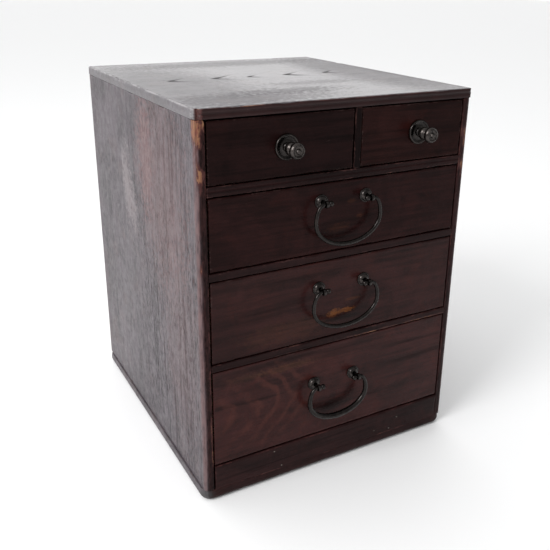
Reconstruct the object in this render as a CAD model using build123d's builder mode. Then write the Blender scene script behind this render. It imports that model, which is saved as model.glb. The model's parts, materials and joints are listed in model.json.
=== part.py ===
"""A small table-top chest of drawers in lacquered wood, with forged iron pulls.

Frame: millimetres, +Z up, drawer fronts facing -Y, +X to the right seen from the front.
The origin is under the middle of the whole object, knobs included, on the surface it stands on.
"""

import os

from build123d import *

os.makedirs("parts", exist_ok=True)

# ---------------------------------------------------------------- driving dimensions
HEIGHT = 270.0
WIDTH = 206.0
DEPTH = 226.0  # case boards only, without the knobs

SIDE_T = 6.5  # thickness of the side panels
TOP_T = 6.5
BASE_T = 9.0
BASE_PROUD = 1.2  # the base board stands out this far at the sides and back
BACK_T = 5.0
DADO = 2.0  # depth of the grooves that hold the shelves and the back

KNOB_REACH = 15.5  # how far the knobs stand out of the case front

# Roundings of the case boards
BASE_CORNER_R = 7.5  # upright corners of the base board
BASE_FOOT_R = 4.5  # edge round its underside
BASE_LEDGE_R = 1.1  # upper edge where it stands proud of the case
TOP_CORNER_R = 3.0
TOP_EDGE_R = 1.5
ARRIS_R = 3.5  # outer front edge of each side panel

# Levels of the case boards, as (underside, top face).
PLINTH = (BASE_T, 27.2)
SHELF_LOWER = (99.9, 104.8)
SHELF_MIDDLE = (163.2, 168.4)
SHELF_UPPER = (217.2, 223.5)
FLOOR_T = 5.0  # board under the lowest drawer, behind the plinth rail
RAIL_DEPTH = 9.0

DIVIDER_X = 9.4  # centre of the upright between the two small drawers
DIVIDER_T = 5.0

# Drawers
SIDE_GAP = 0.6  # between a drawer front and the case, each side
SINK = 0.5  # drawer fronts sit this far behind the case front
LIFT = 0.25  # running gap under a drawer
HEAD_GAP = 0.9  # gap above a drawer
REAR_GAP = 2.5  # a closed drawer stops this far before the back panel
FRONT_T = 8.0
WALL_T = 4.5
BOTTOM_T = 3.0
LAP = 4.5  # how far the drawer walls run into the front
GROOVE = 1.5  # how far the drawer bottom runs into the walls
BOTTOM_UP = 1.2  # height of the drawer bottom over the lower edge of the walls
WALL_DROP = 1.0  # drawer walls end this far below the top of the front
FRONT_EDGE_R = 0.7

# Iron pulls
PIN_R = 1.15  # bail end where it turns in its eye
EYE_PLAY = 0.08  # radial play of that pin
EYE_R = 2.6
EYE_WIDE = 2.0
STEM_R = 1.3
STEM_PLAY = 0.1  # radial play of each stem in its hole
STAND_OFF = 7.2  # bail pivot in front of the drawer front
EYE_OVERLAP = 0.4  # how far each stem runs into its eye
ROSETTE_R = 4.8
ROSETTE_H = 2.6
ROSETTE_RIM = 0.8  # height of the rosette's straight rim
SHANK_R = 1.6

# ---------------------------------------------------------------- derived planes
OVERALL_DEPTH = KNOB_REACH + DEPTH + BASE_PROUD
FRONT_Y = -OVERALL_DEPTH / 2 + KNOB_REACH
BACK_Y = FRONT_Y + DEPTH
INNER_X = WIDTH / 2 - SIDE_T
TOP_Z = HEIGHT - TOP_T
PANEL_Y = BACK_Y - BACK_T  # front face of the back panel
FACE_Y = FRONT_Y + SINK  # face of every drawer front
FRONT_REAR_Y = FACE_Y + FRONT_T
PIVOT_Y = FACE_Y - STAND_OFF
SHELVES = {
    "shelf_lower": SHELF_LOWER,
    "shelf_middle": SHELF_MIDDLE,
    "shelf_upper": SHELF_UPPER,
}
FLOOR = (PLINTH[1] - FLOOR_T, PLINTH[1])


def slab(x, y, z, mode=Mode.ADD):
    """A block between the given limits, added to or cut from the piece being built."""
    with Locations(((x[0] + x[1]) / 2, (y[0] + y[1]) / 2, (z[0] + z[1]) / 2)):
        Box(x[1] - x[0], y[1] - y[0], z[1] - z[0], mode=mode)


def rod(start, direction, radius, length, mode=Mode.ADD):
    """A round bar from a point along a direction, added to or cut from the piece being built."""
    from_start = (Align.CENTER, Align.CENTER, Align.MIN)
    with Locations(Plane(origin=start, z_dir=direction)):
        Cylinder(radius, length, align=from_start, mode=mode)


def save(piece, name):
    piece.part.label = name
    export_step(piece.part, f"parts/{name}.step")


# ---------------------------------------------------------------- wooden pegs of the case
PEG_R = 1.1
BACK_PEG_LENGTH = 16.0
BASE_PEG_LENGTH = 22.0
BACK_PEG_X = (-75.0, -25.0, 25.0, 75.0)
BASE_PEG_Y = (-80.0, -20.0, 45.0, 105.0)
BACK_PEG_Z = [(z[0] + z[1]) / 2 for z in (FLOOR, *SHELVES.values())]
SIDE_MID_X = WIDTH / 2 - SIDE_T / 2


def back_pegs(mode=Mode.ADD):
    """Pegs through the back panel into the rear edge of each shelf."""
    for z in BACK_PEG_Z:
        for x in BACK_PEG_X:
            rod((x, BACK_Y, z), (0, -1, 0), PEG_R, BACK_PEG_LENGTH, mode)


def base_pegs(mode=Mode.ADD):
    """Pegs up through the base board into the lower edge of each side panel."""
    for x in (-SIDE_MID_X, SIDE_MID_X):
        for y in BASE_PEG_Y:
            rod((x, y, 0), (0, 0, 1), PEG_R, BASE_PEG_LENGTH, mode)


# ---------------------------------------------------------------- case
with BuildPart() as base_board:
    edge_x = WIDTH / 2 + BASE_PROUD
    slab((-edge_x, edge_x), (FRONT_Y, BACK_Y + BASE_PROUD), (0, BASE_T))
    fillet(base_board.edges().filter_by(Axis.Z), radius=BASE_CORNER_R)
    fillet(base_board.edges().group_by(Axis.Z)[0], radius=BASE_FOOT_R)
    # The front is one plane with the plinth rail above it, so only the proud edges are eased.
    proud_edges = base_board.edges().group_by(Axis.Z)[-1].sort_by(Axis.Y)[1:]
    fillet(proud_edges, radius=BASE_LEDGE_R)
    base_pegs(Mode.SUBTRACT)
save(base_board, "base_board")

with BuildPart() as top_board:
    slab((-WIDTH / 2, WIDTH / 2), (FRONT_Y, BACK_Y), (TOP_Z, HEIGHT))
    fillet(top_board.edges().filter_by(Axis.Z), radius=TOP_CORNER_R)
    fillet(top_board.edges().group_by(Axis.Z)[-1], radius=TOP_EDGE_R)
save(top_board, "top_board")


def shelf_limits(levels):
    """The blocks of one shelf: full width behind, and short of the grooves at the front."""
    return (
        ((-INNER_X, INNER_X), (FRONT_Y, FRONT_Y + RAIL_DEPTH), levels),
        ((-INNER_X - DADO, INNER_X + DADO), (FRONT_Y + RAIL_DEPTH, PANEL_Y), levels),
    )


def side_panel(sign):
    """One side panel, with stopped grooves for the shelves and a rebate for the back."""
    inner, outer = sign * INNER_X, sign * WIDTH / 2
    with BuildPart() as panel:
        slab(sorted((inner, outer)), (FRONT_Y, BACK_Y), (BASE_T, TOP_Z))
        front_edges = panel.edges().filter_by(Axis.Z).group_by(Axis.Y)[0]
        fillet(front_edges.sort_by(Axis.X)[0 if sign < 0 else -1], radius=ARRIS_R)
        for levels in SHELVES.values():
            slab(*shelf_limits(levels)[1], mode=Mode.SUBTRACT)
        slab(*shelf_limits(FLOOR)[1], mode=Mode.SUBTRACT)
        slab((-INNER_X - DADO, INNER_X + DADO), (PANEL_Y, BACK_Y), (BASE_T, TOP_Z), Mode.SUBTRACT)
        base_pegs(Mode.SUBTRACT)
    return panel


save(side_panel(-1), "left_side")
save(side_panel(1), "right_side")

for name, levels in SHELVES.items():
    with BuildPart() as shelf:
        for limits in shelf_limits(levels):
            slab(*limits)
        back_pegs(Mode.SUBTRACT)
    save(shelf, name)

with BuildPart() as base_rail:
    slab((-INNER_X, INNER_X), (FRONT_Y, FRONT_Y + RAIL_DEPTH), PLINTH)
save(base_rail, "base_rail")

with BuildPart() as case_floor:
    slab(*shelf_limits(FLOOR)[1])
    back_pegs(Mode.SUBTRACT)
save(case_floor, "case_floor")

with BuildPart() as back_panel:
    slab((-INNER_X - DADO, INNER_X + DADO), (PANEL_Y, BACK_Y), (BASE_T, TOP_Z))
    back_pegs(Mode.SUBTRACT)
save(back_panel, "back_panel")

with BuildPart() as divider:
    slab(
        (DIVIDER_X - DIVIDER_T / 2, DIVIDER_X + DIVIDER_T / 2),
        (FRONT_Y, PANEL_Y),
        (SHELF_UPPER[1], TOP_Z),
    )
save(divider, "divider")

with BuildPart() as back_panel_pegs:
    back_pegs()
save(back_panel_pegs, "back_panel_pegs")

with BuildPart() as base_board_pegs:
    base_pegs()
save(base_board_pegs, "base_board_pegs")


# ---------------------------------------------------------------- drawers
NAIL_R = 0.8
NAIL_LENGTH = 9.0
NAIL_SHARES = (0.3, 0.75)  # how far up the drawer each row of nails is


def drawer(name, x, z, holes):
    """Front, two walls, back, bottom and nails of one drawer.

    x and z are the limits of its opening, and holes lists (x, z, radius) of the holes that
    the pulls go through.
    """
    x = (x[0] + SIDE_GAP, x[1] - SIDE_GAP)
    z = (z[0] + LIFT, z[1] - HEAD_GAP)
    rear = PANEL_Y - REAR_GAP
    wall_z = (z[0], z[1] - WALL_DROP)
    bottom_z = (z[0] + BOTTOM_UP, z[0] + BOTTOM_UP + BOTTOM_T)
    lap_y = FRONT_REAR_Y - LAP
    walls = {
        "left": (x[0], x[0] + WALL_T),
        "right": (x[1] - WALL_T, x[1]),
    }
    bottom_limits = (
        (walls["left"][1] - GROOVE, walls["right"][0] + GROOVE),
        (FRONT_REAR_Y - GROOVE, rear),
        bottom_z,
    )
    nail_z = [z[0] + (z[1] - z[0]) * share for share in NAIL_SHARES]
    nail_y = [lap_y + LAP / 2, rear - WALL_T / 2]

    def nails(mode=Mode.ADD):
        for at_z in nail_z:
            for at_y in nail_y:
                rod((x[0], at_y, at_z), (1, 0, 0), NAIL_R, NAIL_LENGTH, mode)
                rod((x[1], at_y, at_z), (-1, 0, 0), NAIL_R, NAIL_LENGTH, mode)

    with BuildPart() as front:
        slab(x, (FACE_Y, FRONT_REAR_Y), z)
        face_edges = front.faces().sort_by(Axis.Y)[0].edges()
        fillet(face_edges, radius=FRONT_EDGE_R)
        for wall_x in walls.values():
            slab(wall_x, (lap_y, FRONT_REAR_Y), wall_z, Mode.SUBTRACT)
        slab(*bottom_limits, mode=Mode.SUBTRACT)
        for hole_x, hole_z, radius in holes:
            rod((hole_x, FACE_Y, hole_z), (0, 1, 0), radius, FRONT_T, Mode.SUBTRACT)
        nails(Mode.SUBTRACT)
    save(front, f"{name}_front")

    for hand, wall_x in walls.items():
        with BuildPart() as wall:
            slab(wall_x, (lap_y, rear), wall_z)
            slab(*bottom_limits, mode=Mode.SUBTRACT)
            nails(Mode.SUBTRACT)
        save(wall, f"{name}_{hand}_wall")

    with BuildPart() as back:
        slab((walls["left"][1], walls["right"][0]), (rear - WALL_T, rear), (bottom_z[1], wall_z[1]))
        nails(Mode.SUBTRACT)
    save(back, f"{name}_back")

    with BuildPart() as bottom:
        slab(*bottom_limits)
    save(bottom, f"{name}_bottom")

    with BuildPart() as drawer_nails:
        nails()
    save(drawer_nails, f"{name}_nails")


# ---------------------------------------------------------------- knobs of the small drawers
KNOB_HEAD_R = 5.2
PLATE_R = 8.2
WASHER_R = 4.5
WASHER_T = 1.0
RIVET_R = 2.6
RIVET_H = 1.0


def knob(name, x, z):
    """Turned iron knob, its dished back plate, and the washer it is riveted over inside."""
    # Both are revolved from a half section: first the radius, then the depth behind the face.
    section = Plane(origin=(x, FACE_Y, z), x_dir=(1, 0, 0), z_dir=(0, 0, 1))
    axis = Axis((x, FACE_Y, z), (0, -1, 0))
    bore = SHANK_R + STEM_PLAY

    with BuildPart() as plate:
        with BuildSketch(section):
            with BuildLine():
                Polyline((bore, 0), (PLATE_R, 0), (PLATE_R, -0.9))
                ThreePointArc((PLATE_R, -0.9), (PLATE_R - 0.8, -1.7), (PLATE_R - 1.6, -0.9))
                Spline((PLATE_R - 1.6, -0.9), (5.2, -0.7), (3.8, -1.1), (bore, -1.4))
                Line((bore, -1.4), (bore, 0))
            make_face()
        revolve(axis=axis)
    save(plate, f"{name}_plate")

    tip = -KNOB_REACH - SINK
    tail = FRONT_T + WASHER_T
    with BuildPart() as handle:
        with BuildSketch(section):
            with BuildLine():
                Polyline((0, tail + RIVET_H), (RIVET_R - 0.6, tail + RIVET_H), (RIVET_R, tail))
                Polyline((RIVET_R, tail), (SHANK_R, tail), (SHANK_R, -1.8), (2.9, -1.8), (2.3, -3.0))
                Spline((2.3, -3.0), (3.9, -4.4), (4.3, -6.2), (3.9, -7.9), (2.9, -9.2))
                Line((2.9, -9.2), (2.6, -10.2))
                Spline((2.6, -10.2), (4.5, -11.2), (KNOB_HEAD_R, -13.2), (4.6, -14.9), (3.6, tip + 0.5))
                Polyline((3.6, tip + 0.5), (3.2, tip + 0.9), (1.6, tip + 0.9), (1.0, tip), (0, tip))
                Line((0, tip), (0, tail + RIVET_H))
            make_face()
        revolve(axis=axis)
    save(handle, f"{name}_knob")

    with BuildPart() as washer:
        rod((x, FRONT_REAR_Y, z), (0, 1, 0), WASHER_R, WASHER_T)
        rod((x, FRONT_REAR_Y, z), (0, 1, 0), SHANK_R + STEM_PLAY, WASHER_T, Mode.SUBTRACT)
    save(washer, f"{name}_washer")


# ---------------------------------------------------------------- bail pulls of the large drawers
TAIL_LONG = 8.0
TAIL_WIDE = 2.2
TAIL_T = 0.8
ROSETTE_DOME = (3.6, -2.2)  # a point half way over the dome, as radius and depth
SHOULDER_PLAY = 0.6  # from each eye to where the bar starts to bend
WAIST = 0.42  # the bail is widest at this share of its drop
FINIAL_R = 1.9
FINIAL_OUT = 3.4  # middle of each finial, inwards of its eye


def bail_pull(name, middle, pivot_z, half_gap, half_width, drop, thick):
    """Rosettes, split-pin posts and bail of one pull.

    middle is the x of its centre, half_gap from there to each eye, half_width and drop the
    bail's reach to the middle of its bar, and thick the bar's radius at the bottom.
    """
    with BuildPart() as rosettes:
        for sign in (-1, 1):
            at = (middle + sign * half_gap, FACE_Y, pivot_z)
            with BuildSketch(Plane(origin=at, x_dir=(1, 0, 0), z_dir=(0, 0, 1))):
                with BuildLine():
                    hole = STEM_R + STEM_PLAY
                    Polyline((hole, 0), (ROSETTE_R, 0), (ROSETTE_R, -ROSETTE_RIM))
                    ThreePointArc((ROSETTE_R, -ROSETTE_RIM), ROSETTE_DOME, (hole, -ROSETTE_H))
                    Line((hole, -ROSETTE_H), (hole, 0))
                make_face()
            revolve(axis=Axis(at, (0, -1, 0)))
    save(rosettes, f"{name}_rosettes")

    with BuildPart() as posts:
        for sign in (-1, 1):
            x = middle + sign * half_gap
            stem_length = STAND_OFF - EYE_R + EYE_OVERLAP + FRONT_T
            rod((x, FRONT_REAR_Y, pivot_z), (0, -1, 0), STEM_R, stem_length)
            rod((x - EYE_WIDE / 2, PIVOT_Y, pivot_z), (1, 0, 0), EYE_R, EYE_WIDE)
            slab(
                (x - TAIL_WIDE / 2, x + TAIL_WIDE / 2),
                (FRONT_REAR_Y, FRONT_REAR_Y + TAIL_T),
                (pivot_z - TAIL_LONG, pivot_z + TAIL_LONG),
            )
        for sign in (-1, 1):
            x = middle + sign * half_gap
            bore = PIN_R + EYE_PLAY
            rod((x - EYE_WIDE, PIVOT_Y, pivot_z), (1, 0, 0), bore, 2 * EYE_WIDE, Mode.SUBTRACT)
    save(posts, f"{name}_posts")

    # Each half of the bar runs from the finial through the eye, round the shoulder and
    # down to the thick middle of the grip.
    shoulder = half_gap + EYE_WIDE / 2 + SHOULDER_PLAY
    waist = -WAIST * drop
    upright = Plane(origin=(middle, PIVOT_Y, pivot_z), x_dir=(1, 0, 0), z_dir=(0, -1, 0))
    with BuildPart() as bail:
        with BuildLine(upright) as route:
            Line((half_gap - FINIAL_OUT, 0), (shoulder, 0))
            EllipticalCenterArc(
                (shoulder, waist), half_width - shoulder, -waist, start_angle=90, arc_size=-90
            )
            EllipticalCenterArc(
                (0, waist), half_width, drop + waist, start_angle=0, arc_size=-90
            )
        start = Plane(
            origin=upright.from_local_coords((half_gap - FINIAL_OUT, 0)), z_dir=(1, 0, 0)
        )
        eye_end = Plane(origin=upright.from_local_coords((shoulder, 0)), z_dir=(1, 0, 0))
        side = Plane(origin=upright.from_local_coords((half_width, waist)), z_dir=(0, 0, -1))
        grip = Plane(origin=upright.from_local_coords((0, -drop)), z_dir=(-1, 0, 0))
        for plane, radius in (
            (start, PIN_R),
            (eye_end, PIN_R),
            (side, (PIN_R + thick) / 2),
            (grip, thick),
        ):
            with BuildSketch(plane):
                Circle(radius)
        sweep(path=route.wires()[0], multisection=True)
        with Locations(upright.from_local_coords((half_gap - FINIAL_OUT, 0))):
            Sphere(FINIAL_R)
        mirror(about=Plane(origin=(middle, 0, 0), z_dir=(1, 0, 0)))
    save(bail, f"{name}_bail")


# ---------------------------------------------------------------- the five drawers and their pulls
WHOLE_X = (-INNER_X, INNER_X)
KNOBS = {
    "small_left": ((-INNER_X, DIVIDER_X - DIVIDER_T / 2), (-43.0, 242.8)),
    "small_right": ((DIVIDER_X + DIVIDER_T / 2, INNER_X), (58.5, 243.3)),
}
for name, (opening_x, (x, z)) in KNOBS.items():
    drawer(name, opening_x, (SHELF_UPPER[1], TOP_Z), [(x, z, SHANK_R + STEM_PLAY)])
    knob(name, x, z)

BAILS = {
    "upper": dict(
        opening_z=(SHELF_MIDDLE[1], SHELF_UPPER[0]),
        middle=0.3, pivot_z=204.5, half_gap=17.3, half_width=25.0, drop=29.0, thick=1.5,
    ),
    "middle": dict(
        opening_z=(SHELF_LOWER[1], SHELF_MIDDLE[0]),
        middle=1.2, pivot_z=143.5, half_gap=18.0, half_width=25.8, drop=28.3, thick=1.5,
    ),
    "lower": dict(
        opening_z=(PLINTH[1], SHELF_LOWER[0]),
        middle=-2.2, pivot_z=70.8, half_gap=16.4, half_width=23.6, drop=27.0, thick=2.0,
    ),
}
for name, pull in BAILS.items():
    opening_z = pull.pop("opening_z")
    eyes = [
        (pull["middle"] + sign * pull["half_gap"], pull["pivot_z"], STEM_R + STEM_PLAY)
        for sign in (-1, 1)
    ]
    drawer(name, WHOLE_X, opening_z, eyes)
    bail_pull(name, **pull)
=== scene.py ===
"""The looks of a small lacquered chest of drawers with forged iron pulls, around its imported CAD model."""

import json
import math

import bpy
import numpy as np
from mathutils import Matrix, Vector


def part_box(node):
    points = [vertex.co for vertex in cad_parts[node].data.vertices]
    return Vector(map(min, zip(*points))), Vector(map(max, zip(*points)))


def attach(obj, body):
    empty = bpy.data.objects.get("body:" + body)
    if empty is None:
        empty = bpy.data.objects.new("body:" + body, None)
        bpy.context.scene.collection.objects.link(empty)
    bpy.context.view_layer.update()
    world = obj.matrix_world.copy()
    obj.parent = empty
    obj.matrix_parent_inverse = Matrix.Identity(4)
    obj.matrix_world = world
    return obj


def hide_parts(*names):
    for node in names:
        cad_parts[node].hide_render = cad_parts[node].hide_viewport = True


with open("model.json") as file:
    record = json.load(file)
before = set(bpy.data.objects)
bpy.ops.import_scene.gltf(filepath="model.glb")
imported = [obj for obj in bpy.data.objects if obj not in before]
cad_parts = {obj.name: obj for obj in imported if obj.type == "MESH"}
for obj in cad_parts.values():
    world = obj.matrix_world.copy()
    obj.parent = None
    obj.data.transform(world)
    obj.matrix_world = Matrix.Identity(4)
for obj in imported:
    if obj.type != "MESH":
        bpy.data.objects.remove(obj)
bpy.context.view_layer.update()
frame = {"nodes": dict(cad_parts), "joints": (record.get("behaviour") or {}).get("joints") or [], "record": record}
NODES = frame["nodes"]
MM = 0.001
X, Y, Z = 0, 1, 2
LOW, HIGH = 0, 1


# ---- repeatable noise
def lattice(x, y, z, seed):
    """A number from 0 to 1 for each whole-number point, the same in every run."""
    n = (x * 374761393 + y * 668265263 + z * 1442695041 + seed * 974634777) & 0xFFFFFFFF
    n = ((n ^ (n >> 13)) * 1274126177) & 0xFFFFFFFF
    return ((n ^ (n >> 16)) & 0xFFFF) / 65535.0


def noise(points, cell, seed):
    """Smooth noise from -1 to 1 at each point, with bumps about cell (x, y, z) metres across."""
    at = np.asarray(points) / np.asarray(cell)
    base = np.floor(at).astype(np.int64)
    part = at - base
    part = part * part * (3 - 2 * part)
    total = np.zeros(len(at))
    for dx in (0, 1):
        for dy in (0, 1):
            for dz in (0, 1):
                weight = (
                    np.abs(1 - dx - part[:, 0])
                    * np.abs(1 - dy - part[:, 1])
                    * np.abs(1 - dz - part[:, 2])
                )
                total += weight * lattice(base[:, 0] + dx, base[:, 1] + dy, base[:, 2] + dz, seed)
    return total * 2 - 1


def rough(points, cell, seed, octaves=3):
    """Noise with finer noise added to it."""
    cell = np.asarray(cell, float)
    total, size = 0, 0
    for k in range(octaves):
        total = total + noise(points, cell / 2**k, seed + 31 * k) / 2**k
        size += 0.5**k
    return total / size


def cell_of(grain, across, along):
    """Noise cells that are long along the grain."""
    cell = [across] * 3
    cell[grain] = along
    return tuple(cell)


def smooth(value, low, high):
    """0 below low, 1 above high and a smooth step between."""
    t = np.clip((value - low) / (high - low), 0, 1)
    return t * t * (3 - 2 * t)


# ---- meshes
BODY_OF = {n: b for b, names in frame["record"]["behaviour"]["bodies"].items() for n in names}


def new_object(name, verts, faces, material, node, **attributes):
    """A smooth mesh piece that rides on its CAD node's body and stands for the node."""
    mesh = bpy.data.meshes.new(name)
    mesh.from_pydata([tuple(v) for v in verts], [], [tuple(f) for f in faces])
    mesh.validate()
    for key, values in attributes.items():
        layer = mesh.attributes.new(key, "FLOAT", "POINT")
        layer.data.foreach_set("value", np.asarray(values, np.float32))
    piece = bpy.data.objects.new(name, mesh)
    bpy.context.scene.collection.objects.link(piece)
    mesh.materials.append(material)
    mesh.polygons.foreach_set("use_smooth", [True] * len(mesh.polygons))
    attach(piece, BODY_OF[node])
    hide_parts(node)
    return piece


FINE = 0.7 * MM  # how far apart a board's grid lines are beside its edges and through its thickness
NEAR_EDGE = 5 * MM


def grid_lines(low, high, radius, step):
    """Places of a board's grid lines: on the rounding, then fine beside it, then step apart."""
    rounding = [radius * (1 - math.tan(math.radians(a))) for a in (45, 30, 15, 0)]
    half = (high - low) / 2
    places, at, gap = list(rounding), radius, min(FINE, step)
    while at + gap < min(half, NEAR_EDGE):
        at += gap
        places.append(at)
        gap = min(gap * 1.12, step)
    rest = 2 * (half - at)
    count = max(1, round(rest / step))
    middle = [low + at + rest * (k + 1) / count for k in range(count - 1)]
    return np.array([low + p for p in places] + middle + [high - p for p in reversed(places)])


def board_mesh(low, high, radius, steps):
    """A closed box with rounded edges, as vertices, quads and outward normals.

    steps gives the spacing of the grid along x, y and z.
    """
    lines = [grid_lines(low[k], high[k], radius, steps[k]) for k in range(3)]
    counts = [len(line) for line in lines]
    index, points, quads = {}, [], []

    def corner(i, j, k):
        key = (i, j, k)
        if key not in index:
            index[key] = len(points)
            points.append((lines[0][i], lines[1][j], lines[2][k]))
        return index[key]

    for axis in range(3):
        u, v = (axis + 1) % 3, (axis + 2) % 3
        for end in (0, counts[axis] - 1):
            ids = np.empty((counts[u], counts[v]), int)
            place = [0, 0, 0]
            place[axis] = end
            for a in range(counts[u]):
                for b in range(counts[v]):
                    place[u], place[v] = a, b
                    ids[a, b] = corner(*place)
            q = np.stack([ids[:-1, :-1], ids[1:, :-1], ids[1:, 1:], ids[:-1, 1:]], -1).reshape(-1, 4)
            quads.append(q if end else q[:, ::-1])
    points = np.array(points)
    core = np.clip(points, np.array(low) + radius, np.array(high) - radius)
    away = points - core
    normal = away / np.linalg.norm(away, axis=1, keepdims=True)
    return core + normal * radius, np.concatenate(quads), normal


def edge_distance(points, low, high):
    """Distance along the surface from each point to the nearest edge of the box."""
    gaps = np.minimum(points - np.array(low), np.array(high) - points)
    return np.sort(gaps, axis=1)[:, 1]


class Board:
    """A wooden board that is being shaped before it becomes a piece."""

    def __init__(self, node, grain, radius=0.5 * MM, along=4 * MM, across=1.0 * MM, box=None):
        low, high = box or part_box(node)
        self.node, self.grain = node, grain
        self.low = np.array(low, float)
        self.high = np.array(high, float)
        thin = int(np.argmin(self.high - self.low))
        steps = [across] * 3
        steps[grain] = along
        steps[thin] = min(steps[thin], FINE)
        self.points, self.quads, self.normal = board_mesh(self.low, self.high, radius, steps)
        self.start = self.points.copy()
        self.edge = edge_distance(self.start, self.low, self.high)
        self.seed = sum(ord(c) * (k + 3) for k, c in enumerate(node)) % 9973
        self.relief = np.zeros(len(self.points))
        self.front = np.zeros(len(self.points))  # 1 where the front's darker lacquer covers it
        self.worn = np.zeros(len(self.points))  # above 0 where the lacquer has chipped away
        self.open_grain = np.ones(len(self.points))  # how much the pores show
        self.bare_edges = np.ones(len(self.points))  # 0 at edges that lie against another board
        self.arris = np.zeros(len(self.points))  # 1 along a corner that hands have worn, where a highlight is also painted

    def push(self, amount):
        """Moves the surface along its normals; a negative amount sinks it."""
        self.points += self.normal * np.asarray(amount)[:, None]

    def inset(self, axis, end):
        """How far each point lay in from one end of the box before any shaping."""
        if end == LOW:
            return self.start[:, axis] - self.low[axis]
        return self.high[axis] - self.start[:, axis]

    def round_edge(self, axis, corner, radius):
        """Rounds a long edge: corner says, for the two other axes, whether it is at the low or high end."""
        u, v = [k for k in range(3) if k != axis]
        ends = (self.low, self.high)
        sign = np.array([-1 if c == LOW else 1 for c in corner])
        centre = np.array([ends[corner[0]][u], ends[corner[1]][v]]) - sign * radius
        rel = self.points[:, (u, v)] - centre
        inside = ((rel * sign) > 0).all(axis=1)
        length = np.linalg.norm(rel, axis=1)
        reach = np.where(inside & (length > radius), radius / np.maximum(length, 1e-9), 1)
        self.points[:, (u, v)] = centre + rel * reach[:, None]

    def round_foot(self, plan, foot):
        """Rounds the upright corners to radius plan and the edge round the underside to radius foot."""
        points, low = self.points, self.low
        core = np.clip(points[:, :2], low[:2] + plan, self.high[:2] - plan)
        away = points[:, :2] - core
        reach = np.abs(away).max(axis=1)
        height = points[:, Z] - low[Z]
        outer = np.clip((reach - (plan - foot)) / foot, 0, 1)
        turn = math.pi / 4 * (outer + np.clip(height / foot, 0, 1))
        on_arc = (height < foot) & (outer > 0)
        reach = np.where(on_arc, plan - foot + foot * np.sin(turn), reach)
        length = np.maximum(np.linalg.norm(away, axis=1), 1e-9)
        points[:, :2] = core + away * (reach / length)[:, None]
        points[:, Z] = np.where(on_arc, low[Z] + foot * (1 - np.cos(turn)), points[:, Z])

    def face(self, axis, end):
        """How far each point belongs to one face of the box, from 0 to 1."""
        return smooth(self.normal[:, axis] * (1 if end else -1), 0.3, 0.8)

    def waves(self, cell, seed, octaves=3):
        """Rough noise over the board as it was before any shaping."""
        return rough(self.start, cell, self.seed + seed, octaves)

    def wood_relief(self, depth, across=1.6 * MM, along=70 * MM):
        """Raised and sunk growth lines, as on softwood that has shrunk between its hard rings."""
        lines = self.waves(cell_of(self.grain, across, along), 0, 2)
        broad = self.waves(cell_of(self.grain, across * 3.1, along * 1.4), 7, 1)
        lines = 0.65 * lines + 0.35 * broad
        lines *= smooth(self.edge, 0.0, 1.5 * MM)
        self.relief = self.relief + lines
        self.push(depth * (lines - 0.5) * 0.5)

    def wear_edges(self, depth, reach=1.3 * MM, cell=6 * MM):
        """Knocks and rubbed hollows along the edges."""
        knocks = self.waves([cell] * 3, 50)
        near = 1 - smooth(self.edge, 0, reach)
        self.push(-depth * near * smooth(knocks, 0.0, 0.8))

    def piece(self, name, material, front_material=None):
        """Makes the Blender object, never reaching beyond the board's own box."""
        made = new_object(
            name, np.clip(self.points, self.low, self.high), self.quads, material, self.node,
            edge=self.bare_edges * (1 - smooth(self.edge, 0, 2.2 * MM)), relief=self.relief,
            front=self.front, worn=self.worn, open_grain=self.open_grain, arris=self.arris,
        )
        if front_material:
            made.data.materials.append(front_material)
            covered = self.front[self.quads].mean(axis=1) > 0.5
            made.data.polygons.foreach_set("material_index", covered.astype(np.int32))
        return made


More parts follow.
